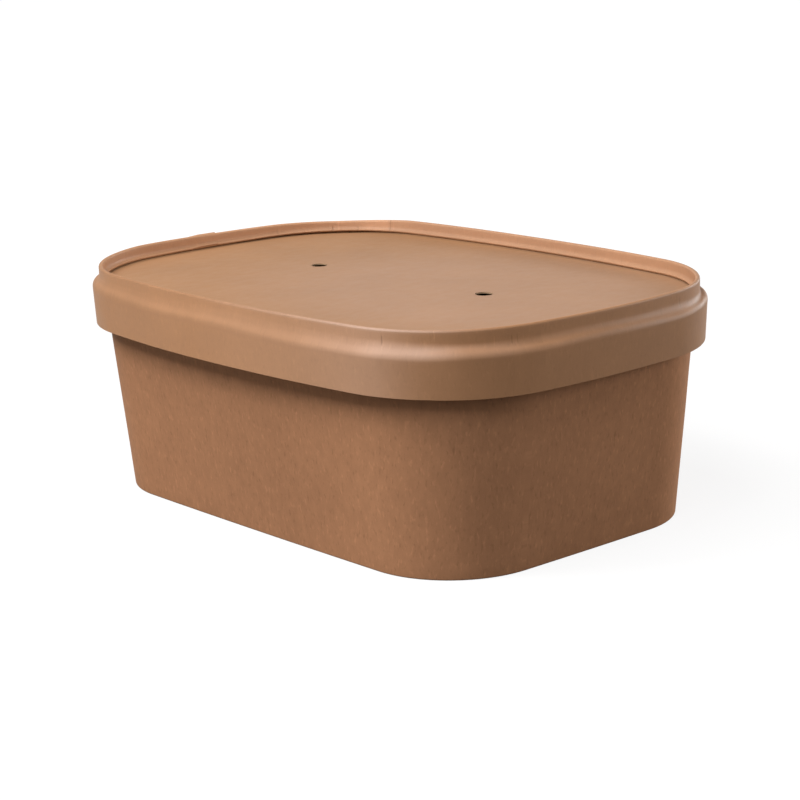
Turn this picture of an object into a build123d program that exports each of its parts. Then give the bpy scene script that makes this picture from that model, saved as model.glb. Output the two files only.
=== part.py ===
from build123d import *
from math import asin, atan2, cos, degrees, hypot, radians, sin, tan
import os

# Units are millimetres. The origin is the centre of the footprint on the table, +X along the long side, +Z up.

# Paperboard
board = 0.4                     # thickness of every sheet
glue_gap = 0.05                 # glue line between nested sheets

# Rim of the bowl, measured outside the roll
rim_length = 173.0
rim_width = 121.6
rim_long_side_radius = 460.0    # the long sides bow outward on this radius
rim_short_side_radius = 250.0
rim_corner_radius = 36.9
roll_diameter = 2.1             # curled edge, measured from the inside of the wall
roll_turn = 280.0               # degrees that the curl goes round
bowl_height = 60.9              # table to the top of the roll

# Foot of the bowl, measured outside the wall
foot_length = 154.0
foot_width = 101.2
foot_long_side_radius = 3500.0
foot_short_side_radius = 2200.0
foot_corner_radius = 27.0
foot_bend = 0.5                 # outside bend at each side of the bottom fold
base_recess = 6.0               # table to the underside of the base
base_bend = 1.6                 # outside bend between the base and its flange
bowl_seam_lap = 8.0             # width of the glued lap on the short side at -X

# Lid
lid_clearance = 0.3             # between the roll and the underside of the panel
skirt_clearance = 0.5           # between the roll and the cut edge of the skirt
skirt_draw = 0.6                # how far the skirt draws in from its shoulder to its cut edge
skirt_reach = 12.2              # how far the skirt hangs below the underside of the panel
shoulder_drop = 1.2             # corner of the shoulder below the underside of the panel
neck_height = 0.8               # foot of the neck above the underside of the panel
neck_inset = 1.75               # how far the neck stands inside the shoulder
shoulder_bend = 2.6
neck_bend = 3.0
lid_rim_height = 4.8            # crest of the lid above the underside of the panel
panel_bend = 2.6                # outside bend between the panel and its flange
hem_flare = 70.0                # degrees that the folded edge flares over the panel's bend
hem_tip = 0.1                   # straight tip beyond the flare
hem_lift = 0.3                  # how far the flare's bend stands off the panel's bend
lid_seam_lap = 6.3              # width of the glued lap on the short side at -X
lid_seam_offset = -0.25         # middle of that lap along Y
vent_diameter = 5.0
vent_spacing = 68.3
vent_offset_x = 0.2             # middle of the two vents from the middle of the panel
vent_offset_y = 3.4
vent_turn = 1.3                 # degrees between the line of the vents and the long side

# How much of the room for it a tight bend takes up, so that a sliver of flat is left beside it
crest_fullness = 0.49           # of the thickness of the lid's fold
bend_fullness = 0.98            # of the named outside bend

# Worked-out sizes shared by the pieces
fold_thickness = 3 * board + 2 * glue_gap
flange_inset = board + glue_gap
hem_inset = 2 * (board + glue_gap)
fold_bend = crest_fullness * fold_thickness
hem_bend = panel_bend - 2 * board - glue_gap - hem_lift
base_run = 2 * base_bend        # length of each leg of the base's bend
panel_run = 2 * panel_bend
vent_cut = 4 * board            # height of the cutter, through the panel and past both its faces
roll_radius = roll_diameter / 2
roll_centre_z = bowl_height - roll_radius
base_top = base_recess + board
base_bend_z = base_top - base_bend
panel_z = bowl_height + lid_clearance
lid_crest_z = panel_z + lid_rim_height
lid_reach = skirt_clearance + board + skirt_draw


def section_plane(centre, angle):
    """Upright plane through a centre, with its x axis pointing outward at the given angle."""
    outward = (cos(radians(angle)), sin(radians(angle)), 0)
    return Plane(origin=(centre[0], centre[1], 0), x_dir=outward, z_dir=(outward[1], -outward[0], 0))


class Outline:
    """Rounded rectangle with bowed sides, seen from above: eight tangent arcs."""

    def __init__(self, length, width, long_side_radius, short_side_radius, corner_radius):
        self.half_x = length / 2
        self.half_y = width / 2
        self.long_radius = long_side_radius
        self.short_radius = short_side_radius
        self.corner_radius = corner_radius

    def offset(self, distance):
        """The same outline moved outward, keeping the centre of each arc."""
        return Outline(
            2 * (self.half_x + distance),
            2 * (self.half_y + distance),
            self.long_radius + distance,
            self.short_radius + distance,
            self.corner_radius + distance,
        )

    def corner_centre(self):
        """Centre of the corner arc that is tangent to the long and the short side's arc."""
        long_y = self.half_y - self.long_radius
        short_x = self.half_x - self.short_radius
        from_long = self.long_radius - self.corner_radius
        from_short = self.short_radius - self.corner_radius
        between = hypot(short_x, long_y)
        along = (from_long**2 - from_short**2 + between**2) / (2 * between)
        across = (from_long**2 - along**2) ** 0.5
        towards = (short_x / between, -long_y / between)
        return (
            along * towards[0] + across * towards[1],
            long_y + along * towards[1] - across * towards[0],
        )

    def arcs(self):
        """Centre, radius, start angle and turn of each arc, anticlockwise from the +X side."""
        corner = self.corner_centre()
        long_centre = (0, self.half_y - self.long_radius)
        short_centre = (self.half_x - self.short_radius, 0)
        low = degrees(atan2(corner[1], corner[0] - short_centre[0]))
        high = degrees(atan2(corner[1] - long_centre[1], corner[0]))
        found = []
        for side in (0, 180):
            flip = 1 if side == 0 else -1
            right = (flip * short_centre[0], 0)
            top = (0, flip * long_centre[1])
            first = (flip * corner[0], flip * corner[1])
            second = (-flip * corner[0], flip * corner[1])
            found.append((right, self.short_radius, side - low, 2 * low))
            found.append((first, self.corner_radius, side + low, high - low))
            found.append((top, self.long_radius, side + high, 180 - 2 * high))
            found.append((second, self.corner_radius, side + 180 - high, high - low))
        return found

    def face(self, z):
        """Flat face filling the outline at a height."""
        edges = [CenterArc((*centre, z), radius, start, turn) for centre, radius, start, turn in self.arcs()]
        return make_face(edges)

    def plate(self, z, thickness):
        return extrude(self.face(z), amount=thickness, dir=(0, 0, 1))

    def sweep_round(self, section, lap_section=None, lap=0, middle=0):
        """Turn a section round the outline. Its x is the distance outside the outline, its y is the height.

        A lap section takes its place over a short stretch of the side at -X, as wide as the lap."""
        stretches = [(section, *arc) for arc in self.arcs()]
        if lap_section:
            number = len(stretches) // 2
            _, centre, radius, start, turn = stretches[number]
            first = 180 - degrees(asin((middle + lap / 2) / radius))
            last = 180 - degrees(asin((middle - lap / 2) / radius))
            stretches[number:number + 1] = [
                (section, centre, radius, start, first - start),
                (lap_section, centre, radius, first, last - first),
                (section, centre, radius, last, start + turn - last),
            ]
        segments = []
        for outline_section, centre, radius, start, turn in stretches:
            placed = section_plane(centre, start) * Pos(radius, 0) * outline_section
            segments.append(revolve(placed, Axis((*centre, 0), (0, 0, 1)), turn))
        return segments[0] + segments[1:]


def sheet_section(path, side):
    """Section of one sheet: the path is one face of it, and the board lies on the named side."""
    return make_face(offset(path, amount=board, side=side).edges())


rim = Outline(rim_length, rim_width, rim_long_side_radius, rim_short_side_radius, rim_corner_radius)
foot = Outline(foot_length, foot_width, foot_long_side_radius, foot_short_side_radius, foot_corner_radius)
wall_top = rim.offset(board - roll_diameter)
lid = rim.offset(lid_reach)


def wall_outline(z):
    """Outer outline of the sloping wall at a height, between the bottom fold and the roll."""
    share = (z - foot_bend) / (roll_centre_z - foot_bend)

    def between(low, high):
        return low + share * (high - low)

    return Outline(
        2 * between(foot.half_x, wall_top.half_x),
        2 * between(foot.half_y, wall_top.half_y),
        1 / between(1 / foot.long_radius, 1 / wall_top.long_radius),
        1 / between(1 / foot.short_radius, 1 / wall_top.short_radius),
        between(foot.corner_radius, wall_top.corner_radius),
    )


def wall_band(low_z, high_z, outer_inset, inner_inset):
    """Closed band that follows the slope of the wall, between two insets from its outer face."""

    def core(inset):
        heights = [low_z] + [z for z in (base_bend_z,) if low_z < z < high_z] + [high_z]
        return loft([wall_outline(z).offset(-inset).face(z) for z in heights], ruled=True)

    return core(outer_inset) - core(inner_inset)


def bowl_wall():
    """Wrapped wall with its rolled rim, bottom fold and side seam."""
    body = wall_band(foot_bend, roll_centre_z, 0, board)
    hem = wall_band(foot_bend, base_bend_z, hem_inset, hem_inset + board)

    fold_path = FilletPolyline(
        (0, foot_bend),
        (0, 0),
        (-fold_thickness, 0),
        (-fold_thickness, foot_bend),
        radius=bend_fullness * foot_bend,
    )
    bottom_fold = foot.sweep_round(sheet_section(fold_path, Side.RIGHT))

    roll_centre = (-roll_radius, roll_centre_z)
    outer_curl = CenterArc(roll_centre, roll_radius, 180, -roll_turn)
    inner_curl = CenterArc(roll_centre, roll_radius - board, 180, -roll_turn)
    curl_start = Line(outer_curl @ 0, inner_curl @ 0)
    curl_end = Line(outer_curl @ 1, inner_curl @ 1)
    roll = rim.sweep_round(make_face([outer_curl, curl_end, inner_curl, curl_start]))

    lap_top = roll_centre_z - roll_radius - 2 * board
    lap = wall_band(foot_bend, lap_top, -board, 0)
    lap_zone = Pos(-foot.half_x, 0, lap_top / 2) * Box(foot.half_x, bowl_seam_lap, lap_top)
    return body + hem + bottom_fold + roll + (lap & lap_zone)


def bowl_base():
    """Base panel with its flange turned down into the wall's bottom fold."""
    bend_path = FilletPolyline(
        (-flange_inset, base_bend_z),
        (-flange_inset, base_top),
        (-flange_inset - base_run, base_top),
        radius=bend_fullness * base_bend,
    )
    at_bend = wall_outline(base_bend_z)
    bend = at_bend.sweep_round(sheet_section(bend_path, Side.LEFT))
    flange = wall_band(foot_bend + glue_gap, base_bend_z, flange_inset, flange_inset + board)
    panel = at_bend.offset(-flange_inset - base_run).plate(base_recess, board)
    return panel + bend + flange


def lid_ring():
    """Wrapped lid strip with its hem, neck, shoulder, skirt and seam."""
    hem_face = -neck_inset - fold_thickness
    to_bend = hem_bend * tan(radians(hem_flare / 2))
    hem_corner_z = panel_z + panel_bend - to_bend
    flare = (to_bend + hem_tip) * sin(radians(hem_flare))
    drop = (to_bend + hem_tip) * cos(radians(hem_flare))
    path = FilletPolyline(
        (-skirt_draw, panel_z - skirt_reach),
        (0, panel_z - shoulder_drop),
        (-neck_inset, panel_z + neck_height),
        (-neck_inset, lid_crest_z),
        (hem_face, lid_crest_z),
        (hem_face, hem_corner_z),
        (hem_face - flare, hem_corner_z - drop),
        radius=[shoulder_bend, neck_bend, fold_bend, fold_bend, hem_bend],
    )
    single = sheet_section(path, Side.LEFT)
    double = single + sheet_section(path, Side.RIGHT)
    return lid.sweep_round(single, double, lid_seam_lap, lid_seam_offset)


def lid_panel():
    """Lid panel with its flange turned up into the ring's fold, and its vent holes."""
    flange_face = -neck_inset - flange_inset
    flange_top = lid_crest_z - fold_bend - glue_gap
    path = FilletPolyline(
        (flange_face - panel_run, panel_z),
        (flange_face, panel_z),
        (flange_face, flange_top),
        radius=panel_bend,
    )
    flange = lid.sweep_round(sheet_section(path, Side.LEFT))
    panel = lid.offset(flange_face - panel_run).plate(panel_z, board)
    vents_middle = Pos(vent_offset_x, vent_offset_y, panel_z) * Rot(0, 0, vent_turn)
    for side in (-1, 1):
        panel -= vents_middle * Pos(side * vent_spacing / 2, 0, 0) * Cylinder(vent_diameter / 2, vent_cut)
    return panel + flange


pieces = {
    "bowl_wall": bowl_wall(),
    "bowl_base": bowl_base(),
    "lid_ring": lid_ring(),
    "lid_panel": lid_panel(),
}
os.makedirs("parts", exist_ok=True)
for name, piece in pieces.items():
    piece.label = name
    export_step(piece, f"parts/{name}.step")
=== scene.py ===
from math import acos, atan2, cos, hypot, pi, radians, sin, sqrt, tan

import bpy
import numpy as np
from mathutils import Matrix, Vector
from mathutils.geometry import delaunay_2d_cdt


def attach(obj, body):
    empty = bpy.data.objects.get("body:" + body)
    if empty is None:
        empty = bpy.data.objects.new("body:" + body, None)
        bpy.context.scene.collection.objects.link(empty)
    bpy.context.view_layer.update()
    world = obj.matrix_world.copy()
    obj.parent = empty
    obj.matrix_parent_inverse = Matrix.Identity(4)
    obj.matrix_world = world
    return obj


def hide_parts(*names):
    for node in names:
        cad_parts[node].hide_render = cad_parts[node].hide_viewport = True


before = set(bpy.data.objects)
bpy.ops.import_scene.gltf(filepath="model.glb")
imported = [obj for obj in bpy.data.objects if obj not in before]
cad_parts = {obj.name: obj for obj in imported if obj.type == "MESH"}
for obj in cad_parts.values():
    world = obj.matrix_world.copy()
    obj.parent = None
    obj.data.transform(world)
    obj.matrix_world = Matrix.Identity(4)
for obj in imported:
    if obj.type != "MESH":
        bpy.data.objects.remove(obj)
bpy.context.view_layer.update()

# Units are millimetres until a mesh or an object is made, which is in metres.
MM = 0.001

# The board and the container's sizes, as the solids have them. An outline is its length, its width, the radii
# of its long and short sides, and its corner radius. The rim's outline lies outside the roll.
BOARD = 0.4
GLUE = 0.05
RIM = (173.0, 121.6, 460.0, 250.0, 36.9)
FOOT = (154.0, 101.2, 3500.0, 2200.0, 27.0)
ROLL_DIAMETER = 2.1
ROLL_TURN = 280.0
BOWL_HEIGHT = 60.9
FOOT_BEND = 0.5
BASE_RECESS = 6.0
BASE_BEND = 1.6
LID_CLEARANCE = 0.3
SKIRT_CLEARANCE = 0.5
SKIRT_DRAW = 0.6
SKIRT_REACH = 12.2
SHOULDER_DROP = 1.2
NECK_HEIGHT = 0.8
NECK_INSET = 1.75
SHOULDER_BEND = 2.6
NECK_BEND = 3.0
LID_RIM_HEIGHT = 4.8
PANEL_BEND = 2.6
HEM_FLARE = 70.0
HEM_TIP = 0.1
HEM_LIFT = 0.42  # how much tighter the hem bends than the panel under it
VENT_RADIUS = 2.5
VENT_SPACING = 68.3
VENT_MIDDLE = (0.2, 3.4)
VENT_TURN = 1.3
FLAT_EDGE = 0.4  # straight stretch from a tray's bend in to its flat middle

FOLD = 3 * BOARD + 2 * GLUE
FLANGE_INSET = BOARD + GLUE
HEM_BEND = PANEL_BEND - 2 * BOARD - GLUE - HEM_LIFT
ROLL_RADIUS = ROLL_DIAMETER / 2
ROLL_Z = BOWL_HEIGHT - ROLL_RADIUS
BASE_TOP = BASE_RECESS + BOARD
BASE_BEND_Z = BASE_TOP - BASE_BEND
PANEL_Z = BOWL_HEIGHT + LID_CLEARANCE
CREST_Z = PANEL_Z + LID_RIM_HEIGHT
LID_REACH = SKIRT_CLEARANCE + BOARD + SKIRT_DRAW

# Bends drawn slightly tighter than the room that they have
FOLD_BEND = 0.49 * FOLD
FOOT_ARC = 0.98 * FOOT_BEND

# The most of the slope between skirt and neck that the shoulder's bend takes, and the most of what is left that
# the neck's bend takes
SHOULDER_SHARE = 0.85
NECK_SHARE = 0.95

# Glued laps on the short side at -X: middle along Y, width, and length of the ramp up to the doubled sheet
LID_LAP = (-0.25, 6.3, 4.0)
WALL_LAP = (0.0, 8.0, 3.0)
LID_LAP_LIFT = 0.3
LAP_SHADE = 0.9  # painted shade of the step: how much darker the hem is where the lid's lap steps down
LAP_FADE = 0.6  # height over which the wall's lap fades out under the roll

# The bowl's foot stands out further at +X than its rim does
FOOT_SHIFT = 0.25

# The wall follows the skirt's strays from this height up, in full after the span. Lower down its sheet waves
# and lies back a little, between two heights where that fades in and two where it fades out.
STRAY_FROM = 30
STRAY_SPAN = 31
WAVE_RISE = (2, 12)
WAVE_FALL = (48, 58)
WAVE_SINK = 0.11

# Distances outside the wall: a point further in than the first isn't on its outer face, and one further in than
# the second is on the fold behind it
OUTER_FACE = -0.01
WALL_SHEET = -0.5

# The panel's middle rises in a low dome: its height, half length and half width. Ripples fade out at the edge.
PANEL_DOME = (0.5, 82, 56)
RIPPLE_EDGE = (80, 54)
RIPPLE_FADE = 12

# Painted shade of the gap under the hem's tip, on the panel where it dives under the hem, and the distances
# from the lid's outline between which that comes in
HEM_SHADE = -0.8
HEM_SHADE_FADE = (-4.6, -4.2)

# How finely the meshes are divided: steps round a corner, a long side and a short side, steps in the arcs of
# a section, and steps in each of its straight stretches
RING_STEPS = (34, 44, 30)
RING_ARC_STEPS = 7
RING_STRETCHES = (12, 2, 4, 1, 3, 1)
WALL_STEPS = (30, 40, 30)
WALL_ARC_STEPS = 5
WALL_STRETCHES = (3, 1, 24)
ROLL_STEPS = 25
TRAY_STEPS = (34, 30, 24)
PANEL_ARC_STEPS = 10
BASE_ARC_STEPS = 8
HOLE_STEPS = 48
FLAT_GRID = 4.0
GRID_MARGIN = 1.5  # from the edge of a flat middle to the grid that fills it
CORNER_MARGIN = 1  # more of the same in the corners
HOLE_MARGIN = 1  # from a hole to the grid round it
FINE_REACH = 2.4  # how many of its widths to each side of a crease are divided finely
FINE_STEPS = 13
SAME_PLACE = 1e-5
SAME_POINT = 1e-6
LAP_STEP_WIDTH = 0.02
LID_RAMP_WIDTH = 0.8
WALL_RAMP_WIDTH = 0.6

# The board's own coordinates, which its fibres follow: their unit, and shifts that part the faces of a sheet
BOARD_UNIT = 100
RING_BACK_SHIFT = 40
WALL_BACK_SHIFT = 90
TRAY_SHIFT = 200

# Boards: the colour outside and inside as they show on a screen, roughness, specular level, strength of the
# flecks, and seed. The panel's colour is painted paler in its middle, a painted sheen, and changes towards its
# edges.
WALL_BOARD = ((190, 137, 101), (178, 124, 89), 0.5, 0.02, 1.8, 1.0)
BASE_BOARD = ((190, 137, 101), (178, 124, 89), 0.5, 0.02, 1.8, 31.0)
RING_BOARD = ((185, 136, 98), (173, 124, 87), 0.45, 0.2, 0.7, 53.0)
PANEL_BOARD = ((174, 135, 107), (170, 122, 90), 0.5, 0.26, 0.3, 77.0)
PANEL_EDGE_COLOUR = (171, 127, 91)
PANEL_SHEEN_SPREAD = (1 / 0.090, 1 / 0.066, 0)  # one over the reach of its middle colour, with its painted sheen, in X and Y, in metres
PANEL_SHEEN_SHIFT = (-0.36, -0.1, 0)
PANEL_SHEEN_BLEND = (0.5, 1.0)  # shares of that reach between which the colour changes
CUT_COLOUR = (206, 172, 136)
CUT_STRENGTH = 0.6
# Colour of the painted highlight
PAINTED_HIGHLIGHT_COLOUR = (190, 160, 143)
# Strength of the tone attribute, which carries painted shade and painted light as well as the creases' tones
TONE_STRENGTH = 0.35
ROUGH_SPREAD = 0.05
FILM_GLOSS = 0.18  # how much less rough the filmed inside is
IOR = 1.45

# Noises of the board: stretch across and up the sheet, detail, roughness, and what is added to the seed
NOISES = {
    "clouds": ((3.5, 3.0, 1), 3.0, 0.55, 0),
    "mottle": ((34, 20, 1), 3.0, 0.6, 3),
    "pale_fibres": ((105, 40, 1), 2.0, 0.5, 7),
    "dark_fibres": ((120, 46, 1), 2.0, 0.5, 13),
    "grain": ((420, 300, 1), 2.0, 0.6, 19),
}
BROAD = (0.3, 0.7)  # range of a noise that a soft change is spread over
SPARSE = (0.57, 0.74)  # range of a noise that leaves separate fibres

# What the noises add to the board's tone at both ends of their range, and whether that grows with the flecks
TONES = (
    ("clouds", BROAD, -0.05, 0.05, False),
    ("mottle", BROAD, -0.035, 0.035, True),
    ("pale_fibres", SPARSE, 0.0, 0.10, True),
    ("dark_fibres", SPARSE, 0.0, -0.09, True),
    ("grain", BROAD, -0.02, 0.02, False),
)

# What the noises add to the relief, and its strength and depth
RELIEF = (("pale_fibres", 0.6), ("grain", 0.5), ("mottle", 0.8))
RELIEF_STRENGTH = 0.25
RELIEF_DEPTH = 0.06

# Camera, found from the outlines in the photograph
CAMERA_AZIMUTH = 49.19
CAMERA_ELEVATION = 13.975
CAMERA_ROLL = -1.781
CAMERA_DISTANCE = 613.0
CAMERA_AIM_Z = 28.64
FOCAL_PIXELS = 2153.2
OPTICAL_AXIS = (392.4, 395.7)  # pixel of the 800 by 800 frame
FRAME_PIXELS = 800
SENSOR = 36.0

# Soft lamps: degrees round from +X, degrees up, and the light that each puts on a white card facing it
LAMPS = (
    (240, 48, 0.521),
    (270, 66, 0.407),
    (60, 12, 0.369),
    (300, 48, 0.353),
    (90, 12, 0.345),
    (240, 12, 0.088),
    (330, 30, 0.064),
)
LAMP_DISTANCE = 1.3
LAMP_SIZE = 0.5
LAMP_AIM = (0, 0, 0.03)
GLOSSY_SURROUND = 0.5  # brightness of the white surroundings in reflections

# The floor, in metres: its colour in the light, and its glow near the container and some way off, where it is
# as white as the background
FLOOR_HALF = 3.0
FLOOR_LEVEL = -0.02 * MM
FLOOR_TONE = 0.15
FLOOR_GLOW = (0.87, 1.0)
FLOOR_FADE = (0.25, 0.6)


class Outline:
    """Rounded rectangle of eight tangent arcs.

    A place on it is a number from 0 to 8: the number of the arc, and the share along it."""

    def __init__(self, length, width, long_radius, short_radius, corner_radius):
        self.half_x = length / 2
        self.half_y = width / 2
        self.radii = (short_radius, corner_radius, long_radius)
        short_x = self.half_x - short_radius
        long_y = self.half_y - long_radius
        from_long = long_radius - corner_radius
        from_short = short_radius - corner_radius
        between = hypot(short_x, long_y)
        along = (from_long**2 - from_short**2 + between**2) / (2 * between)
        across = sqrt(from_long**2 - along**2)
        corner = (
            (along * short_x - across * long_y) / between,
            long_y - (along * long_y + across * short_x) / between,
        )
        low = atan2(corner[1], corner[0] - short_x)
        high = atan2(corner[1] - long_y, corner[0])
        self.arcs = []
        for side, flip in ((0, 1), (pi, -1)):
            self.arcs += [
                ((flip * short_x, 0), short_radius, side - low, 2 * low),
                ((flip * corner[0], flip * corner[1]), corner_radius, side + low, high - low),
                ((0, flip * long_y), long_radius, side + high, pi - 2 * high),
                ((-flip * corner[0], flip * corner[1]), corner_radius, side + pi - high, high - low),
            ]
        self.starts = np.concatenate(([0], np.cumsum([radius * turn for _, radius, _, turn in self.arcs])))

    def offset(self, distance):
        short_radius, corner_radius, long_radius = (radius + distance for radius in self.radii)
        size = (2 * (self.half_x + distance), 2 * (self.half_y + distance))
        return Outline(*size, long_radius, short_radius, corner_radius)

    def at(self, places):
        """Points, outward normals and running lengths at an array of places."""
        points = np.zeros((len(places), 2))
        normals = np.zeros((len(places), 2))
        runs = np.zeros(len(places))
        for row, place in enumerate(places):
            number = min(int(place), 7)
            centre, radius, start, turn = self.arcs[number]
            angle = start + (place - number) * turn
            normals[row] = (cos(angle), sin(angle))
            points[row] = (centre[0] + radius * cos(angle), centre[1] + radius * sin(angle))
            runs[row] = self.starts[number] + (place - number) * radius * turn
        return points, normals, runs

    def place_of(self, run):
        """The place at a running length from the start of the arc at +X."""
        run = run % self.starts[-1]
        number = int(np.searchsorted(self.starts, run, side="right")) - 1
        number = min(number, 7)
        return number + (run - self.starts[number]) / (self.starts[number + 1] - self.starts[number])


rim = Outline(*RIM)
foot = Outline(*FOOT)
wall_top = rim.offset(BOARD - ROLL_DIAMETER)
lid = rim.offset(LID_REACH)
LEFT_SIDE_RUN = (lid.starts[4] + lid.starts[5]) / 2  # the middle of the short side at -X


def rounded(points, radii, steps):
    """Polyline with its inner corners turned into arcs of the given number of steps.

    Gives the points and the left-hand normals along it."""
    points = [np.array(point, float) for point in points]
    path = []
    for number, point in enumerate(points):
        if number in (0, len(points) - 1):
            near = points[1] if number == 0 else points[-2]
            heading = (near - point) if number == 0 else (point - near)
            heading /= np.linalg.norm(heading)
            path.append((point, heading))
            continue
        before = (point - points[number - 1]) / np.linalg.norm(point - points[number - 1])
        after = (points[number + 1] - point) / np.linalg.norm(points[number + 1] - point)
        radius = radii[number - 1]
        turn = acos(np.clip(before @ after, -1, 1))
        side = np.sign(before[0] * after[1] - before[1] * after[0])
        reach = radius * tan(turn / 2)
        centre = point - before * reach + side * radius * np.array((-before[1], before[0]))
        for step in range(steps + 1):
            angle = side * turn * step / steps
            heading = np.array((
                before[0] * cos(angle) - before[1] * sin(angle),
                before[0] * sin(angle) + before[1] * cos(angle),
            ))
            path.append((centre + side * radius * np.array((heading[1], -heading[0])), heading))
    places = np.array([point for point, _ in path])
    normals = np.array([(-heading[1], heading[0]) for _, heading in path])
    return places, normals


def divided(points, normals, counts, steps):
    """Splits the straight stretches between the arcs of a rounded path into the given numbers of pieces."""
    new_points, new_normals = [points[0]], [normals[0]]
    straight = {number * (steps + 1): count for number, count in enumerate(counts)}
    for number in range(1, len(points)):
        pieces = straight.get(number - 1, 1)
        for step in range(1, pieces + 1):
            share = step / pieces
            new_points.append(points[number - 1] + share * (points[number] - points[number - 1]))
            new_normals.append(normals[number - 1] + share * (normals[number] - normals[number - 1]))
    return np.array(new_points), np.array(new_normals)


def smooth(low, high, value):
    """0 up to the low value, 1 from the high value on, and a soft change between them."""
    share = np.clip((value - low) / (high - low), 0, 1)
    return share * share * (3 - 2 * share)


def places_round(corner_steps, long_steps, short_steps, fine=()):
    """Places round an outline, with closer ones about each fine run, which comes with its width."""
    steps = (short_steps, corner_steps, long_steps, corner_steps)
    even = [arc + step / steps[arc % 4] for arc in range(8) for step in range(steps[arc % 4])]
    extra = []
    for run, width in fine:
        for step in np.linspace(-FINE_REACH, FINE_REACH, FINE_STEPS):
            extra.append(lid.place_of(run + step * width))
    merged = sorted(even + extra)
    kept = [merged[0]]
    for place in merged[1:]:
        if place - kept[-1] > SAME_PLACE:
            kept.append(place)
    return np.array(kept)


def make_object(name, vertices, faces, uv_of_vertex, sharp, cut, inside, tone=None, painted_highlight=None):
    """Mesh object in metres, smooth but for its sharp edges, with its board coordinates and attributes."""
    mesh = bpy.data.meshes.new(name)
    mesh.from_pydata((np.asarray(vertices) * MM).tolist(), [], faces)
    mesh.update()
    layer = mesh.uv_layers.new(name="board")
    loop_vertices = np.zeros(len(mesh.loops), dtype=np.int32)
    mesh.loops.foreach_get("vertex_index", loop_vertices)
    uv = np.asarray(uv_of_vertex)[loop_vertices]

    # A face across the start of the outline is carried on past its end, so that its fibres don't run back
    wrapped = np.zeros(len(mesh.loops), dtype=bool)
    half_way = uv[:, 0].max() / 2
    for polygon in mesh.polygons:
        span = range(polygon.loop_start, polygon.loop_start + polygon.loop_total)
        across = [uv[loop, 0] for loop in span]
        if max(across) - min(across) > half_way:
            for loop in span:
                wrapped[loop] = uv[loop, 0] < half_way
    uv[wrapped, 0] += uv[:, 0].max()
    layer.data.foreach_set("uv", uv.ravel() / BOARD_UNIT)

    mesh.polygons.foreach_set("use_smooth", [True] * len(mesh.polygons))
    given = (
        ("cut", cut, "FACE"),
        ("inside", inside, "FACE"),
        ("tone", tone, "POINT"),
        ("painted_highlight", painted_highlight, "POINT"),
    )
    for label, values, domain in given:
        size = len(mesh.polygons) if domain == "FACE" else len(mesh.vertices)
        attribute = mesh.attributes.new(label, "FLOAT", domain)
        attribute.data.foreach_set("value", np.zeros(size) if values is None else np.asarray(values, float))
    pairs = {tuple(sorted(pair)) for pair in sharp}
    for edge in mesh.edges:
        if tuple(sorted(edge.vertices)) in pairs:
            edge.use_edge_sharp = True
    piece = bpy.data.objects.new(name, mesh)
    bpy.context.scene.collection.objects.link(piece)
    return piece


def ring_faces(rows, count, closed=True):
    """Quads of a grid of rows of points that closes round the outline and, if asked, round its section."""
    faces = []
    for i in range(rows):
        j = (i + 1) % rows
        for k in range(count if closed else count - 1):
            m = (k + 1) % count
            faces.append((i * count + k, j * count + k, j * count + m, i * count + m))
    return faces


def lengths_along(points):
    steps = np.linalg.norm(np.diff(points, axis=0), axis=1)
    return np.concatenate(([0], np.cumsum(steps)))


def wrapped_sheet(name, vertices, runs, front, back_shift, cut_edges, lifted, tone=None, painted_highlight=None):
    """Sheet wrapped round the container, from rows of a closed section: its front face, then its back face.

    It has sharp edges along the ends of both faces, and across the front where the lap steps down."""
    rows, count = vertices.shape[:2]
    along = lengths_along(front)
    uv = np.zeros((rows, count, 2))
    uv[:, :, 0] = runs[:, None]
    uv[:, :, 1] = np.concatenate((along, along[::-1] + back_shift))[None, :]
    kinds = np.tile(np.arange(count), rows)
    cut = np.isin(kinds, cut_edges)
    inside = (kinds >= len(front)) & (kinds < count - 1)
    sharp = []
    for i in range(rows):
        j = (i + 1) % rows
        for k in (0, len(front) - 1, len(front), count - 1):
            sharp.append((i * count + k, j * count + k))
    step = lap_step(lifted)
    for row in (step, step + 1):
        sharp += [(row * count + k, row * count + k + 1) for k in range(len(front) - 1)]
    faces = ring_faces(rows, count)
    vertices = vertices.reshape(-1, 3)
    return make_object(name, vertices, faces, uv.reshape(-1, 2), sharp, cut, inside, tone, painted_highlight)


def lap_share(runs, lap):
    """How far the sheet is lifted onto the lap: a ramp up, the doubled stretch, and a square step down."""
    middle, width, ramp = lap
    along = LEFT_SIDE_RUN - runs - middle  # grows with Y, because the run goes down the side at -X
    rise = np.clip((along + width / 2 + ramp) / ramp, 0, 1)
    return np.where(along < width / 2, rise, 0.0)


def lap_step(lifted):
    """The row after which the lap steps down."""
    return int(np.argmax(np.abs(np.diff(lifted))))


def lap_ends(lap, ramp_width):
    """Runs of a lap's step and of the middle of its ramp, each with its width."""
    middle, width, ramp = lap
    return [
        (LEFT_SIDE_RUN - middle - width / 2, LAP_STEP_WIDTH),
        (LEFT_SIDE_RUN - middle + width / 2 + ramp / 2, ramp_width),
    ]


# Creases pressed into the folded edge of the lid: the corner's number on the outline, share along the corner,
# the band they lie in, width, depth, and tone. These show in the photograph.
SEEN_CREASES = (
    (7, 0.17, "low", 0.20, 0.08, -0.7),
    (7, 0.44, "high", 0.16, 0.04, 0.5),
    (7, 0.74, "low", 0.18, 0.04, 0.35),
    (7, 0.83, "low", 0.16, 0.06, -0.5),
    (7, 0.86, "low", 0.16, 0.05, -0.4),
    (3, 0.54, "hem", 0.20, -0.03, 0.55),
    (3, 0.58, "tip", 0.25, 0.12, -0.9),
    (3, 0.41, "tip", 0.22, 0.06, -0.5),
    (3, 0.18, "hem", 0.22, 0.10, -0.55),
    (3, 0.155, "hem", 0.18, -0.03, 0.35),
)

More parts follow.
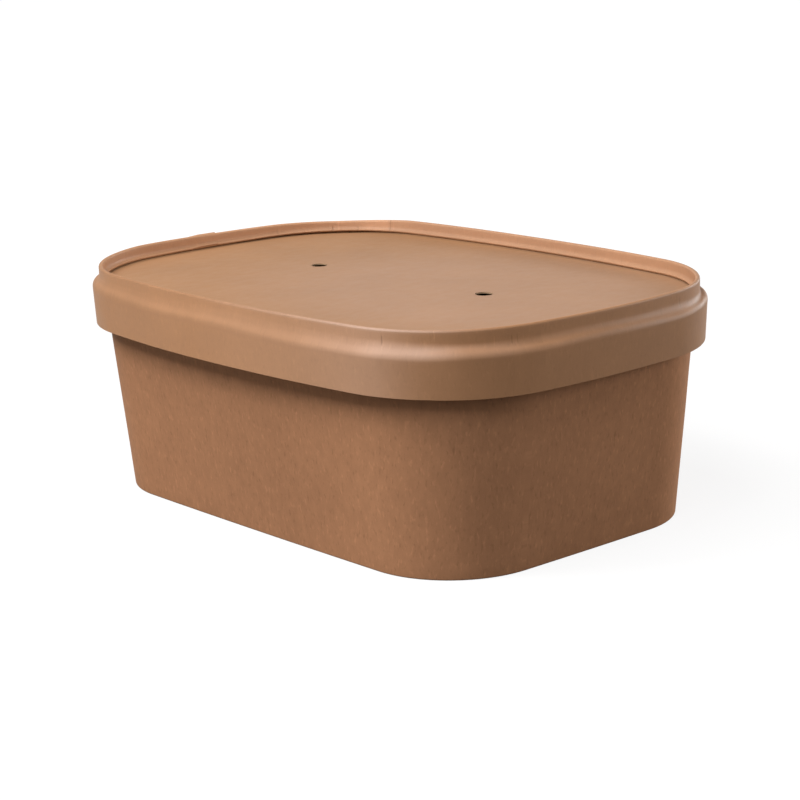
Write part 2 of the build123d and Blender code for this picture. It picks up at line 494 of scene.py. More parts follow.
# Faint creases in all corners: how many to a corner, the share of its stretch of the corner that each may lie
# in, and between which widths, depths and tones they are drawn
FAINT_CREASES = 6
FAINT_SEED = 11
FAINT_PLACE = (0.1, 0.9)
FAINT_WIDTH = (0.2, 0.4)
FAINT_DEPTH = (0.01, 0.04)
FAINT_TONE = (-0.25, 0.2)


def crease_list():
    """All creases: running length, band, width, depth and tone."""
    corner_length = lid.starts[2] - lid.starts[1]
    found = [(lid.starts[corner] + share * corner_length, *rest) for corner, share, *rest in SEEN_CREASES]
    random = np.random.default_rng(FAINT_SEED)
    for corner in (1, 3, 5, 7):
        for number in range(FAINT_CREASES):
            share = (number + random.uniform(*FAINT_PLACE)) / FAINT_CREASES
            band = ("low", "hem")[number % 2]
            width = random.uniform(*FAINT_WIDTH)
            depth = random.uniform(*FAINT_DEPTH)
            tone = random.uniform(*FAINT_TONE)
            found.append((lid.starts[corner] + share * corner_length, band, width, depth, tone))
    return found


creases = crease_list()


def crease_profile(runs, bands):
    """Depth and tone of the creases at each run, for each point of the section."""
    depth = np.zeros((len(runs), len(bands["low"])))
    tone = np.zeros_like(depth)
    for run, band, width, deep, shade in creases:
        bell = np.exp(-(((runs - run) / width) ** 2))[:, None] * bands[band][None, :]
        depth += deep * bell
        tone += shade * bell
    return depth, tone


# How the hand-folded lid strays from its true shape at places round its outline, in mm: the crest upward, the
# neck outward, the skirt outward, the foot of the neck upward, the shoulder upward, its bend, the bend at the
# foot of the neck, and the cut edge upward
LID_SHAPE = np.array((
    (0.00, 0.20, -0.05, 0.00, -0.20, 0.10, -0.20, 0.00, -0.05),
    (0.40, 0.15, 0.20, 0.00, 0.15, 0.20, 0.40, 0.20, 0.00),
    (0.70, 0.13, 0.20, 0.00, -0.10, -0.10, 0.40, 0.30, 0.05),
    (1.00, 0.12, -0.20, -0.10, -0.30, -0.30, -0.40, 0.60, -0.05),
    (1.20, 0.07, -0.40, -0.17, -0.30, 0.10, -0.80, -0.40, 0.10),
    (1.50, 0.00, -0.62, -0.25, -0.25, 1.50, -0.90, -2.60, 0.30),
    (2.00, 0.15, -0.20, -0.10, 0.00, 0.60, 0.00, -0.60, 0.10),
    (2.50, -0.02, 0.00, 0.00, 0.00, 0.00, 0.00, 0.00, 0.00),
    (3.00, 0.00, -0.10, 0.00, 0.00, 0.00, 0.00, 0.00, 0.00),
    (3.25, -0.40, -0.20, 0.00, 0.00, 0.00, 0.00, 0.00, 0.00),
    (3.50, -0.75, -0.25, 0.00, 0.00, 0.00, 0.00, 0.00, 0.00),
    (3.75, -0.60, -0.20, 0.00, 0.00, 0.00, 0.00, 0.00, 0.00),
    (4.00, -0.35, -0.10, 0.00, 0.00, 0.00, 0.00, 0.00, 0.00),
    (4.50, -0.12, 0.00, 0.00, 0.00, 0.00, 0.00, 0.00, 0.00),
    (5.00, 0.13, -0.10, 0.00, 0.00, 0.40, 0.00, -0.60, 0.05),
    (5.25, -0.12, -0.30, 0.00, -0.10, 0.80, -0.50, -1.60, 0.15),
    (5.50, -0.22, -0.42, 0.00, -0.20, 1.06, -0.90, -2.40, 0.20),
    (5.80, -0.25, -0.30, 0.00, 0.10, 0.60, 0.20, -0.60, 0.10),
    (6.05, -0.25, -0.10, 0.00, 0.40, -0.20, 1.20, 0.80, 0.05),
    (6.25, -0.22, 0.00, 0.00, 0.00, -0.40, 0.00, 1.20, 0.00),
    (6.50, -0.20, 0.00, 0.00, 0.50, -0.10, 0.40, 2.20, 0.05),
    (6.75, -0.14, 0.00, 0.00, 0.20, -0.80, 0.40, 2.40, 0.05),
    (7.00, -0.08, -0.05, 0.00, -0.10, -0.60, -0.50, 1.20, 0.05),
    (7.20, -0.05, -0.15, 0.00, 0.10, -0.50, -0.20, 1.20, 0.05),
    (7.40, -0.04, -0.25, 0.00, -0.20, -0.40, 0.00, 0.20, 0.00),
    (7.60, 0.02, -0.30, 0.00, -0.10, -0.05, -0.20, -1.00, -0.10),
    (7.80, 0.14, -0.20, 0.00, -0.20, 0.00, -0.30, -0.40, -0.10),
))


def strayed(places):
    """Rows of LID_SHAPE without the place, carried smoothly round the outline."""
    at = LID_SHAPE[:, 0]
    values = LID_SHAPE[:, 1:]
    count = len(at)
    rows = np.zeros((len(places), values.shape[1]))
    gaps = (np.roll(at, -1) - at) % 8
    around = (gaps + np.roll(gaps, 1))[:, None]
    slopes = (np.roll(values, -1, 0) - np.roll(values, 1, 0)) / around
    for i, place in enumerate(places):
        low = int(np.searchsorted(at, place, side="right")) - 1
        high = (low + 1) % count
        t = (place - at[low]) / gaps[low]
        rows[i] = (
            (2 * t**3 - 3 * t**2 + 1) * values[low]
            + (t**3 - 2 * t**2 + t) * gaps[low] * slopes[low]
            + (3 * t**2 - 2 * t**3) * values[high]
            + (t**3 - t**2) * gaps[low] * slopes[high]
        )
    return rows


def lid_section(crest, neck, skirt, foot_up, shoulder_up, bend, foot_bend, edge):
    """Section of the ring from the skirt's cut edge to the end of the hem, with the moves of LID_SHAPE."""
    neck_face = -NECK_INSET + neck
    hem_face = neck_face - FOLD
    to_bend = HEM_BEND * tan(radians(HEM_FLARE / 2))
    hem_corner_z = PANEL_Z + PANEL_BEND - to_bend
    flare = (to_bend + HEM_TIP) * sin(radians(HEM_FLARE))
    drop = (to_bend + HEM_TIP) * cos(radians(HEM_FLARE))
    corners = [
        (skirt - SKIRT_DRAW, PANEL_Z - SKIRT_REACH + edge),
        (skirt, PANEL_Z - SHOULDER_DROP + shoulder_up),
        (neck_face, PANEL_Z + NECK_HEIGHT + foot_up),
        (neck_face, CREST_Z + crest),
        (hem_face, CREST_Z + crest),
        (hem_face, hem_corner_z),
        (hem_face - flare, hem_corner_z - drop),
    ]
    slope = hypot(corners[1][0] - corners[2][0], corners[1][1] - corners[2][1])
    lean = atan2(corners[2][1] - corners[1][1], corners[1][0] - corners[2][0])
    draw = atan2(SKIRT_DRAW, SKIRT_REACH)
    shoulder_reach = tan((pi / 2 - lean + draw) / 2)
    neck_reach = tan((pi / 2 - lean) / 2)
    shoulder_bend = min(SHOULDER_BEND + bend, SHOULDER_SHARE * slope / shoulder_reach)
    left_over = slope - shoulder_bend * shoulder_reach
    neck_bend = min(NECK_BEND + foot_bend, NECK_SHARE * left_over / neck_reach)
    radii = [shoulder_bend, neck_bend, FOLD_BEND, FOLD_BEND, HEM_BEND]
    return divided(*rounded(corners, radii, RING_ARC_STEPS), RING_STRETCHES, RING_ARC_STEPS)


# Bands of the ring's front face: whether they lie on the hem, and the heights above the panel between which
# they fade in and fade out. The hem fades in over a distance behind the neck.
BANDS = {
    "low": (False, (0.4, 1.1), (2.4, 3.2)),
    "high": (False, (2.2, 3.0), None),
    "hem": (True, None, None),
    "tip": (True, None, (1.8, 2.8)),
    "skirt": (False, None, None),
    "shoulder": (False, (-2.6, -1.2), (0.4, 2.2)),
    "crest": (False, (4.0, 4.5), None),
}
HEM_FADE = (0.3, 1.0)


def band_weights(section, front_count):
    """How strongly each point of the ring's section belongs to each band."""
    on_hem = smooth(*HEM_FADE, -section[:, 0] - NECK_INSET)
    on_front = np.arange(len(section)) < front_count
    above_panel = section[:, 1] - PANEL_Z
    weights = {}
    for name, (hem_band, rise, fall) in BANDS.items():
        weight = on_front * (on_hem if hem_band else 1 - on_hem)
        if rise:
            weight = weight * smooth(*rise, above_panel)
        if fall:
            weight = weight * (1 - smooth(*fall, above_panel))
        weights[name] = weight
    return weights


# A painted sheen on the hem at the back corner, a pale patch between two of the creases: the corner's number on
# the outline, and the shares along it where the patch starts and ends. It starts sharply and ends softly.
SHEEN_PATCH = (3, 0.19, 0.40)
SHEEN_PATCH_TONE = 0.35
SHEEN_PATCH_START = 0.01
SHEEN_PATCH_END = (-0.08, 0.04)


def sheen_patch_share(runs):
    """1 within the patch of painted sheen, 0 elsewhere."""
    corner, first, last = SHEEN_PATCH
    share = (runs - lid.starts[corner]) / (lid.starts[corner + 1] - lid.starts[corner])
    started = smooth(first - SHEEN_PATCH_START, first + SHEEN_PATCH_START, share)
    return started * (1 - smooth(last + SHEEN_PATCH_END[0], last + SHEEN_PATCH_END[1], share))


# Painted shade and painted light on the ring at places round it, in the bands named below
PAINTED_SHADING_BANDS = ("skirt", "shoulder", "hem", "tip", "crest")
RING_PAINTED_SHADING = np.array((
    (0.00, -0.22, -0.05, 0.18, -0.25, -0.20),
    (0.40, -0.22, -0.35, 0.18, -0.25, -0.20),
    (1.00, -0.22, -0.50, 0.18, -0.25, -0.30),
    (1.50, -0.15, -0.40, 0.18, -0.30, -0.30),
    (2.90, 0.00, 0.00, 0.18, -0.30, 0.00),
    (3.30, 0.00, 0.00, 0.70, -0.75, 0.00),
    (4.50, 0.00, 0.00, 0.48, -0.50, 0.00),
    (5.20, 0.06, -0.60, 0.00, 0.00, -0.50),
    (6.60, 0.42, -0.72, 0.05, 0.00, -0.80),
    (7.00, 0.36, -0.35, 0.05, 0.00, -0.20),
    (7.15, 0.32, 0.00, 0.05, 0.00, 0.00),
    (7.35, 0.00, 0.10, 0.05, 0.00, 0.00),
    (7.60, -0.14, -0.10, 0.15, 0.00, -0.20),
))

# Painted highlight on the ring at places round it: a pale painted reflection, strongest on the near corner and
# on the hem at the back
HIGHLIGHT_BANDS = ("skirt", "shoulder", "hem", "crest")
RING_PAINTED_HIGHLIGHT = np.array((
    (0.00, 0.00, 0.05, 0.00, 0.00),
    (1.50, 0.00, 0.00, 0.18, 0.10),
    (3.30, 0.00, 0.00, 0.25, 0.15),
    (4.20, 0.00, 0.00, 0.18, 0.00),
    (6.40, 0.02, 0.02, 0.00, 0.00),
    (6.80, 0.15, 0.00, 0.00, 0.30),
    (7.00, 0.28, 0.10, 0.00, 0.45),
    (7.15, 0.30, 0.25, 0.00, 0.50),
    (7.40, 0.05, 0.45, 0.00, 0.50),
    (7.60, 0.00, 0.15, 0.00, 0.20),
    (7.80, 0.00, 0.20, 0.00, 0.00),
))


def spread_round(rows, places, weights, names):
    """Adds up the named bands, each with its own strength at each place. Each row starts with its place."""
    closed = np.vstack((rows, rows[:1]))
    closed[-1, 0] += 8
    total = 0
    for column, name in enumerate(names, 1):
        strength = np.interp(places, closed[:, 0], closed[:, column])
        total = total + strength[:, None] * weights[name][None, :]
    return total


def lid_ring():
    front, normals = lid_section(*np.zeros(8))
    section = np.vstack((front, (front + BOARD * normals)[::-1]))
    count = len(section)
    fine = [(run, width) for run, _, width, _, _ in creases] + lap_ends(LID_LAP, LID_RAMP_WIDTH)
    places = places_round(*RING_STEPS, fine)
    points, outward, runs = lid.at(places)
    lifted = lap_share(runs, LID_LAP)
    bands = band_weights(section, len(front))
    depth, ring_tone_and_painted_light = crease_profile(runs, bands)
    # Painted sheen on the hem's pale patch
    ring_tone_and_painted_light += SHEEN_PATCH_TONE * (bands["hem"][None, :] * sheen_patch_share(runs)[:, None])
    # Painted shade and painted light, band by band round the ring
    ring_tone_and_painted_light += spread_round(RING_PAINTED_SHADING, places, bands, PAINTED_SHADING_BANDS)
    step = lap_step(lifted)
    # Painted shade along the lap's step on the hem
    ring_tone_and_painted_light[step : step + 2] -= LAP_SHADE * bands["hem"]
    # Painted highlight, band by band round the ring
    painted_highlight = spread_round(RING_PAINTED_HIGHLIGHT, places, bands, HIGHLIGHT_BANDS)
    vertices = np.zeros((len(places), count, 3))
    for i, moves in enumerate(strayed(places)):
        face, face_normals = lid_section(*moves)
        shape = np.vstack((face, (face + BOARD * face_normals)[::-1]))
        shape[: len(face)] += face_normals * (depth[i, : len(face), None] - LID_LAP_LIFT * lifted[i])
        vertices[i, :, 0] = points[i, 0] + outward[i, 0] * shape[:, 0]
        vertices[i, :, 1] = points[i, 1] + outward[i, 1] * shape[:, 0]
        vertices[i, :, 2] = shape[:, 1]
    ring_tone_and_painted_light, painted_highlight = ring_tone_and_painted_light.ravel(), painted_highlight.ravel()
    piece = wrapped_sheet(
        "lid_ring_board", vertices, runs, front, RING_BACK_SHIFT, (count - 1,), lifted, ring_tone_and_painted_light, painted_highlight
    )
    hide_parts("lid_ring")
    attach(piece, "lid")
    return piece


def flat_plan(edge, inner, holes):
    """Points and edges of a flat middle in plan: its edge, the holes, and a grid within the inner outline.

    Gives the number of the first point of each hole too."""
    plan = [Vector(point) for point in edge]
    edges = [(i, (i + 1) % len(edge)) for i in range(len(edge))]
    hole_starts = []
    for x, y, radius in holes:
        start = len(plan)
        hole_starts.append(start)
        for step in range(HOLE_STEPS):
            angle = 2 * pi * step / HOLE_STEPS
            plan.append(Vector((x + radius * cos(angle), y + radius * sin(angle))))
        edges += [(start + step, start + (step + 1) % HOLE_STEPS) for step in range(HOLE_STEPS)]
    corner = inner.arcs[1][0]
    for x in np.arange(-inner.half_x, inner.half_x, FLAT_GRID):
        for y in np.arange(-inner.half_y, inner.half_y, FLAT_GRID):
            beyond = hypot(max(abs(x) - corner[0], 0), max(abs(y) - corner[1], 0))
            clear = all(hypot(x - at_x, y - at_y) > radius + HOLE_MARGIN for at_x, at_y, radius in holes)
            if beyond < inner.radii[1] - CORNER_MARGIN and clear:
                plan.append(Vector((x, y)))
    return plan, edges, hole_starts


def tray(name, outline, sway, section, normals, holes, waves, settle=np.array, shade=None):
    """Sheet with a flange: a flat middle filled to the outline, and a section swept round it.

    The section starts at the edge of the flat middle, and the board lies on the side its normals point to. Sway
    gives the moves outward and upward at the flange's end, and waves the rise of the flat middle."""
    places = places_round(*TRAY_STEPS)
    points, outward, _ = outline.at(places)
    sway_out, sway_up = sway(places)
    back = section + BOARD * normals
    loop = np.vstack((section, back[::-1]))
    rows, count = len(places), len(loop)
    far = np.abs(loop[:, 0] - loop[0, 0])
    weight = smooth(0, far.max(), far)
    vertices = []
    for i in range(rows):
        for k in range(count):
            out = loop[k, 0] + weight[k] * sway_out[i]
            up = loop[k, 1] + weight[k] * sway_up[i]
            vertices.append((points[i, 0] + outward[i, 0] * out, points[i, 1] + outward[i, 1] * out, up))
    board_above = back[0, 1] > section[0, 1]
    faces = ring_faces(rows, count, closed=False)
    if not board_above:
        faces = [face[::-1] for face in faces]
    cut = [k == len(section) - 1 for _ in range(rows) for k in range(count - 1)]
    inside = [k < len(section) - 1 for _ in range(rows) for k in range(count - 1)]
    sharp = []
    for i in range(rows):
        j = (i + 1) % rows
        for k in (len(section) - 1, len(section)):
            sharp.append((i * count + k, j * count + k))

    edge = [vertices[i * count][:2] for i in range(rows)]
    plan, edges, hole_starts = flat_plan(edge, outline.offset(loop[0, 0] - GRID_MARGIN), holes)
    found, _, triangles, origin, _, _ = delaunay_2d_cdt(plan, edges, [], 1, SAME_POINT)
    on_front, on_back = {}, {}
    for number, point in enumerate(found):
        sources = [source for source in origin[number] if source < rows]
        if sources:
            on_front[number] = sources[0] * count
            on_back[number] = sources[0] * count + count - 1
            continue
        wave = waves(point.x, point.y)
        for side, height in ((on_front, section[0, 1]), (on_back, back[0, 1])):
            side[number] = len(vertices)
            vertices.append((point.x, point.y, height + wave))
    for triangle in triangles:
        middle = sum((found[v] for v in triangle), Vector((0, 0))) / 3
        if any(hypot(middle.x - x, middle.y - y) < radius for x, y, radius in holes):
            continue
        front_face = [on_front[v] for v in triangle]
        back_face = [on_back[v] for v in triangle]
        faces += [front_face[::-1], back_face] if board_above else [front_face, back_face[::-1]]
        cut += [False, False]
        inside += [True, False]
    by_origin = {source: number for number, sources in enumerate(origin) for source in sources}
    for start in hole_starts:
        for step in range(HOLE_STEPS):
            a = by_origin[start + step]
            b = by_origin[start + (step + 1) % HOLE_STEPS]
            side = (on_front[a], on_front[b], on_back[b], on_back[a])
            faces.append(side[::-1] if board_above else side)
            sharp += [(on_front[a], on_front[b]), (on_back[a], on_back[b])]
            cut.append(True)
            inside.append(False)

    # Painted shade given by shade, on the board's back face only
    tone = np.zeros(len(vertices))
    if shade:
        on_back_face = np.arange(count) >= len(section)
        tone[: rows * count] = np.tile(shade(loop[:, 0]) * on_back_face, rows)
    uv = [(x + TRAY_SHIFT, y + TRAY_SHIFT) for x, y, _ in vertices]
    return make_object(name, settle(vertices), faces, uv, sharp, cut, inside, tone)


def lid_panel():
    flange_face = -NECK_INSET - FLANGE_INSET
    flange_top = CREST_Z - FOLD_BEND - GLUE
    flat_end = flange_face - PANEL_BEND - FLAT_EDGE
    corners = [(flat_end, PANEL_Z), (flange_face, PANEL_Z), (flange_face, flange_top)]
    section, normals = rounded(corners, [PANEL_BEND], PANEL_ARC_STEPS)
    turn = radians(VENT_TURN)
    holes = []
    for half in (-VENT_SPACING / 2, VENT_SPACING / 2):
        holes.append((VENT_MIDDLE[0] + half * cos(turn), VENT_MIDDLE[1] + half * sin(turn), VENT_RADIUS))

    def sway(places):
        moves = strayed(places)
        return moves[:, 1], moves[:, 0]

    def waves(x, y):
        height, half_length, half_width = PANEL_DOME
        dome = height * max(0, 1 - (x / half_length) ** 2) * max(0, 1 - (y / half_width) ** 2)
        fade = smooth(0, RIPPLE_FADE, min(RIPPLE_EDGE[0] - abs(x), RIPPLE_EDGE[1] - abs(y)))
        return dome + fade * (0.06 * sin(x / 23 + 0.8) * cos(y / 19 - 0.4) + 0.03 * sin(x / 9 + y / 13))

    # Painted shade on the panel, where the gap under the hem's tip lies in shadow
    def shade(out):
        return HEM_SHADE * smooth(*HEM_SHADE_FADE, out)

    piece = tray("lid_panel_board", lid, sway, section, normals, holes, waves, shade=shade)
    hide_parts("lid_panel")
    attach(piece, "lid")
    return piece


def lean_bowl(vertices):
    """The bowl leans a little, from a foot that is shifted along X to a rim that is not."""
    leant = np.array(vertices, float)
    leant[..., 0] += FOOT_SHIFT * (1 - leant[..., 2] / ROLL_Z)
    return leant


def wall_vertices(places, section, moved):
    """Points of a section on the sloping wall: each row has its distance outside the wall and its height."""
    low_points, low_normals, _ = foot.at(places)
    high_points, high_normals, runs = wall_top.at(places)
    share = np.clip((section[:, 1] - FOOT_BEND) / (ROLL_Z - FOOT_BEND), 0, 1)
    vertices = np.zeros((len(places), len(section), 3))
    for k in range(len(section)):
        points = low_points + share[k] * (high_points - low_points)
        normals = low_normals + share[k] * (high_normals - low_normals)
        normals /= np.linalg.norm(normals, axis=1)[:, None]
        vertices[:, k, :2] = points + normals * (section[k, 0] + moved[:, k])[:, None]
        vertices[:, k, 2] = section[k, 1]
    return vertices, runs


def roll_arc(radius):
    """The rim's roll, from the wall outward and down."""
    angles = np.radians(np.linspace(180, 180 - ROLL_TURN, ROLL_STEPS + 1))
    centre = -BOARD + ROLL_RADIUS
    return np.column_stack((centre + radius * np.cos(angles), ROLL_Z + radius * np.sin(angles)))


def bowl_wall():
    corners = [(-FOLD, BASE_BEND_Z), (-FOLD, 0), (0, 0), (0, ROLL_Z)]
    fold, fold_normals = rounded(corners, [FOOT_ARC] * 2, WALL_ARC_STEPS)
    fold, fold_normals = divided(fold, fold_normals, WALL_STRETCHES, WALL_ARC_STEPS)
    outer = np.vstack((fold, roll_arc(ROLL_RADIUS - BOARD)[1:]))
    inner = np.vstack((fold + BOARD * fold_normals, roll_arc(ROLL_RADIUS)[1:]))
    section = np.vstack((outer, inner[::-1]))
    out, up = section.T
    places = places_round(*WALL_STEPS, lap_ends(WALL_LAP, WALL_RAMP_WIDTH))
    _, _, lid_runs = lid.at(places)

    # The lap lifts the outer face only, between the foot's bend and the roll
    lifted = lap_share(lid_runs, WALL_LAP)
    lap_top = ROLL_Z - ROLL_RADIUS - 2 * BOARD
    on_wall = smooth(FOOT_BEND, 2 * FOOT_BEND, up) * (1 - smooth(lap_top - LAP_FADE, lap_top, up))
    on_wall[len(outer):] = 0
    on_wall[out < OUTER_FACE] = 0
    moved = BOARD * lifted[:, None] * on_wall[None, :]

    # The sheet waves by less than it lies back, on both faces but not on the fold behind them
    run = lid_runs[:, None]
    height = up[None, :]
    sheet_zone = smooth(*WAVE_RISE, height) * (1 - smooth(*WAVE_FALL, height))
    wave = 0.07 * np.sin(run / 31 + height / 40)
    wave = wave + 0.04 * np.sin(run / 11.3 + 1.2) * np.sin(height / 17 + 0.5)
    moved = moved - sheet_zone * (WAVE_SINK - np.abs(wave)) * (out > WALL_SHEET)[None, :]
    near_rim = np.clip((up - STRAY_FROM) / STRAY_SPAN, 0, 1)
    moved = moved + strayed(places)[:, 2][:, None] * near_rim[None, :]
    vertices, runs = wall_vertices(places, section, moved)
    cut_edges = (len(outer) - 1, len(section) - 1)
    vertices = lean_bowl(vertices)
    piece = wrapped_sheet("bowl_wall_board", vertices, runs, outer, WALL_BACK_SHIFT, cut_edges, lifted)
    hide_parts("bowl_wall")
    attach(piece, "bowl")
    return piece


def bowl_base():
    share = (BASE_BEND_Z - FOOT_BEND) / (ROLL_Z - FOOT_BEND)

    def size(low, high):
        return low + share * (high - low)

    def side_radius(low, high):
        return 1 / (1 / low + share * (1 / high - 1 / low))

    length, width, long_radius, short_radius, corner_radius = FOOT
    top_short_radius, top_corner_radius, top_long_radius = wall_top.radii
    outline = Outline(
        size(length, 2 * wall_top.half_x),
        size(width, 2 * wall_top.half_y),
        side_radius(long_radius, top_long_radius),
        side_radius(short_radius, top_short_radius),
        size(corner_radius, top_corner_radius),
    )
    lean = (wall_top.half_x - foot.half_x) / (ROLL_Z - FOOT_BEND)
    flange_low = FOOT_BEND + GLUE
    corners = [
        (-FLANGE_INSET - BASE_BEND - FLAT_EDGE, BASE_TOP),
        (-FLANGE_INSET, BASE_TOP),
        (-FLANGE_INSET - lean * (BASE_TOP - flange_low), flange_low),
    ]
    section, normals = rounded(corners, [BASE_BEND], BASE_ARC_STEPS)

    def sway(places):
        return np.zeros(len(places)), np.zeros(len(places))

    def waves(x, y):
        return 0.0

    piece = tray("bowl_base_board", outline, sway, section, -normals, [], waves, lean_bowl)
    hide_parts("bowl_base")
    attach(piece, "bowl")
    return piece


class Graph:
    """Short hand for building a material's nodes."""

    def __init__(self, tree):
        self.tree = tree

    def add(self, kind, settings=None, **inputs):
        """New node. An input is named, or numbered as i0, i1 and so on."""
        node = self.tree.nodes.new(kind)
        for key, value in (settings or {}).items():
            setattr(node, key, value)
        for key, value in inputs.items():
            self.join(value, node.inputs[int(key[1:]) if key[0] == "i" and key[1:].isdigit() else key])
        return node

    def join(self, value, socket):
        if isinstance(value, bpy.types.NodeSocket):
            self.tree.links.new(value, socket)
        else:
            socket.default_value = value

    def math(self, operation, a, b):
        return self.add("ShaderNodeMath", {"operation": operation}, i0=a, i1=b).outputs[0]

    def vector(self, operation, **inputs):
        return self.add("ShaderNodeVectorMath", {"operation": operation}, **inputs)

    def attribute(self, name):
        return self.add("ShaderNodeAttribute", {"attribute_name": name}).outputs["Fac"]

    def ramp(self, value, low, high, to_low=0.0, to_high=1.0):
        node = self.add("ShaderNodeMapRange", {"clamp": True})
        for socket, number in zip(node.inputs[1:5], (low, high, to_low, to_high)):
            socket.default_value = number
        self.join(value, node.inputs[0])
        return node.outputs[0]

    def mix(self, share, first, second):
        node = self.add("ShaderNodeMix", {"data_type": "RGBA"})
        self.join(share, node.inputs[0])
        self.join(first, node.inputs[6])
        self.join(second, node.inputs[7])
        return node.outputs[2]

    def noise(self, vector, stretch, detail, rough, shift):
        mapping = self.add("ShaderNodeMapping")
        mapping.inputs["Scale"].default_value = stretch
        mapping.inputs["Location"].default_value = (shift, shift * 0.7, 0)
        self.join(vector, mapping.inputs["Vector"])
        node = self.add("ShaderNodeTexNoise")
        node.inputs["Scale"].default_value = 1.0
        node.inputs["Detail"].default_value = detail
        node.inputs["Roughness"].default_value = rough
        self.join(mapping.outputs[0], node.inputs["Vector"])
        return node.outputs["Fac"]


def linear(red, green, blue):
    """Colour written as it shows on a screen, 0 to 255, as the shader takes it."""
    def one(value):
        share = value / 255
        return share / 12.92 if share <= 0.04045 else ((share + 0.055) / 1.055) ** 2.4
    return (one(red), one(green), one(blue), 1.0)


def kraft(name, colour, inside_colour, rough, specular, fleck, seed, edge_colour=None):
    """Kraft board: soft clouds of tone, short fibres along the grain, paler cut edges and a filmed inside, and
    the painted shade, light, sheen and highlight that its attributes and edge colour bring.
    """
    material = bpy.data.materials.new(name)
    material.use_nodes = True
    graph = Graph(material.node_tree)
    shader = material.node_tree.nodes["Principled BSDF"]
    coordinates = graph.add("ShaderNodeUVMap", {"uv_map": "board"}).outputs[0]
    noises = {}
    for label, (stretch, detail, roughness, shift) in NOISES.items():
        noises[label] = graph.noise(coordinates, stretch, detail, roughness, seed + shift)
    inside = graph.attribute("inside")

    value = 1.0
    for label, spread, low, high, flecked in TONES:
        strength = fleck if flecked else 1
        value = graph.math("ADD", value, graph.ramp(noises[label], *spread, low * strength, high * strength))
    # The tone attribute: painted shade and painted light on the ring, painted sheen on its back hem, painted
    # shade under the hem and at the lap, and the creases' tones
    value = graph.math("ADD", value, graph.math("MULTIPLY", graph.attribute("tone"), TONE_STRENGTH))

    outer = linear(*colour)
    # The panel's painted sheen: paler in its middle, going over to the edge colour further out
    if edge_colour:
        place = graph.add("ShaderNodeTexCoord").outputs["Object"]
        reached = graph.vector("MULTIPLY_ADD", i0=place, i1=PANEL_SHEEN_SPREAD, i2=PANEL_SHEEN_SHIFT).outputs[0]
        share = graph.ramp(graph.vector("LENGTH", i0=reached).outputs["Value"], *PANEL_SHEEN_BLEND)
        outer = graph.mix(share, linear(*colour), linear(*edge_colour))
    face = graph.mix(inside, outer, linear(*inside_colour))
    cut = graph.math("MULTIPLY", graph.attribute("cut"), CUT_STRENGTH)
    face = graph.mix(cut, face, linear(*CUT_COLOUR))
    # Painted highlight: the face goes over to a pale colour where the attribute asks
    face = graph.mix(graph.attribute("painted_highlight"), face, linear(*PAINTED_HIGHLIGHT_COLOUR))
    scaled = graph.vector("SCALE", i0=face, Scale=value).outputs[0]
    graph.join(scaled, shader.inputs["Base Color"])

    gloss = graph.ramp(noises["mottle"], *BROAD, rough - ROUGH_SPREAD, rough + ROUGH_SPREAD)
    gloss = graph.math("SUBTRACT", gloss, graph.math("MULTIPLY", inside, FILM_GLOSS))
    graph.join(gloss, shader.inputs["Roughness"])
    shader.inputs["IOR"].default_value = IOR
    shader.inputs["Specular IOR Level"].default_value = specular

    relief = 0.0
    for label, strength in RELIEF:
        relief = graph.math("ADD", relief, graph.math("MULTIPLY", noises[label], strength))
    bump = graph.add("ShaderNodeBump", Height=relief, Strength=RELIEF_STRENGTH, Distance=RELIEF_DEPTH * MM)
    graph.join(bump.outputs[0], shader.inputs["Normal"])
    return material


def place_camera():
    azimuth, elevation, roll = (radians(a) for a in (CAMERA_AZIMUTH, CAMERA_ELEVATION, CAMERA_ROLL))
    back = Vector((sin(azimuth) * cos(elevation), -cos(azimuth) * cos(elevation), sin(elevation)))
    right = Vector((0, 0, 1)).cross(back).normalized()
    up = back.cross(right)
    turned_right = cos(roll) * right + sin(roll) * up
    turned_up = -sin(roll) * right + cos(roll) * up
    data = bpy.data.cameras.new("camera")
    data.sensor_width = SENSOR
    data.lens = FOCAL_PIXELS * SENSOR / FRAME_PIXELS
    data.shift_x = (FRAME_PIXELS / 2 - OPTICAL_AXIS[0]) / FRAME_PIXELS
    data.shift_y = (OPTICAL_AXIS[1] - FRAME_PIXELS / 2) / FRAME_PIXELS
    data.clip_start = 0.01
    data.clip_end = 20
    camera = bpy.data.objects.new("camera", data)
    bpy.context.scene.collection.objects.link(camera)
    turn = Matrix((turned_right, turned_up, back)).transposed()
    place = (Vector((0, 0, CAMERA_AIM_Z)) + back * CAMERA_DISTANCE) * MM
    camera.matrix_world = Matrix.Translation(place) @ turn.to_4x4()
    bpy.context.scene.camera = camera


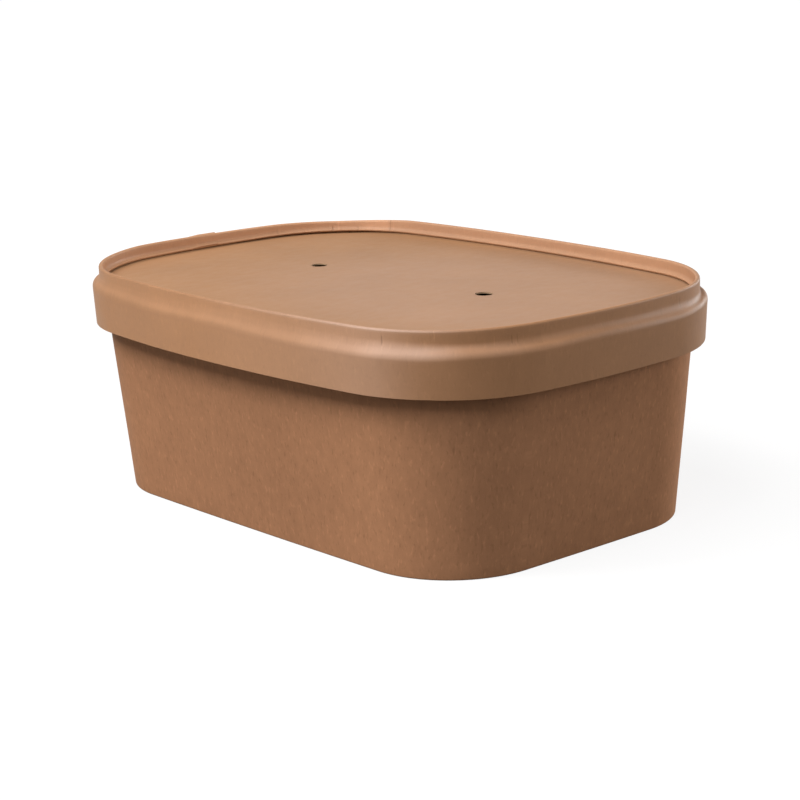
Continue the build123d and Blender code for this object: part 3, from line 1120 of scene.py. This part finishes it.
def light_the_stage():
    """Square area lamps, all aimed at the middle of the container, and white surroundings."""
    for number, (around, up, strength) in enumerate(LAMPS):
        data = bpy.data.lights.new(f"lamp_{number}", "AREA")
        data.shape = "SQUARE"
        data.size = LAMP_SIZE
        data.energy = strength * pi**2 * LAMP_DISTANCE**2
        lamp = bpy.data.objects.new(data.name, data)
        bpy.context.scene.collection.objects.link(lamp)
        flat = cos(radians(up))
        towards = Vector((cos(radians(around)) * flat, sin(radians(around)) * flat, sin(radians(up))))
        lamp.location = Vector(LAMP_AIM) + towards * LAMP_DISTANCE
        lamp.rotation_mode = "QUATERNION"
        lamp.rotation_quaternion = towards.to_track_quat("Z", "Y")
    world = bpy.data.worlds.new("surround")
    bpy.context.scene.world = world
    world.use_nodes = True
    graph = Graph(world.node_tree)
    background = world.node_tree.nodes["Background"]
    paths = graph.add("ShaderNodeLightPath")
    seen = graph.math("MAXIMUM", paths.outputs["Is Camera Ray"], paths.outputs["Is Transmission Ray"])
    glossy = graph.math("MULTIPLY", paths.outputs["Is Glossy Ray"], GLOSSY_SURROUND)
    graph.join(graph.math("MAXIMUM", seen, glossy), background.inputs["Strength"])
    background.inputs["Color"].default_value = (1, 1, 1, 1)


def lay_floor():
    """White floor that keeps the container's shadow. Its glow is seen, and doesn't light the container."""
    mesh = bpy.data.meshes.new("floor")
    signs = ((-1, -1), (1, -1), (1, 1), (-1, 1))
    mesh.from_pydata([(x * FLOOR_HALF, y * FLOOR_HALF, FLOOR_LEVEL) for x, y in signs], [], [(0, 1, 2, 3)])
    floor = bpy.data.objects.new("floor", mesh)
    bpy.context.scene.collection.objects.link(floor)
    material = bpy.data.materials.new("floor")
    material.use_nodes = True
    graph = Graph(material.node_tree)
    shader = material.node_tree.nodes["Principled BSDF"]
    shader.inputs["Base Color"].default_value = (FLOOR_TONE, FLOOR_TONE, FLOOR_TONE, 1)
    shader.inputs["Roughness"].default_value = 1.0
    shader.inputs["Specular IOR Level"].default_value = 0.0
    shader.inputs["Emission Color"].default_value = (1, 1, 1, 1)
    paths = graph.add("ShaderNodeLightPath")
    seen = graph.math("MAXIMUM", paths.outputs["Is Camera Ray"], paths.outputs["Is Transmission Ray"])
    place = graph.add("ShaderNodeTexCoord").outputs["Object"]
    glow = graph.ramp(graph.vector("LENGTH", i0=place).outputs["Value"], *FLOOR_FADE, *FLOOR_GLOW)
    glossy = graph.math("MULTIPLY", paths.outputs["Is Glossy Ray"], GLOSSY_SURROUND)
    strength = graph.math("MAXIMUM", graph.math("MULTIPLY", seen, glow), glossy)
    graph.join(strength, shader.inputs["Emission Strength"])
    mesh.materials.append(material)


def dress():
    boards = (
        (bowl_wall(), kraft("kraft wall", *WALL_BOARD)),
        (bowl_base(), kraft("kraft base", *BASE_BOARD)),
        (lid_ring(), kraft("kraft ring", *RING_BOARD)),
        (lid_panel(), kraft("kraft panel", *PANEL_BOARD, PANEL_EDGE_COLOUR)),
    )
    for piece, material in boards:
        piece.data.materials.append(material)


dress()
place_camera()
light_the_stage()
lay_floor()
bpy.context.scene.view_settings.view_transform = "Standard"
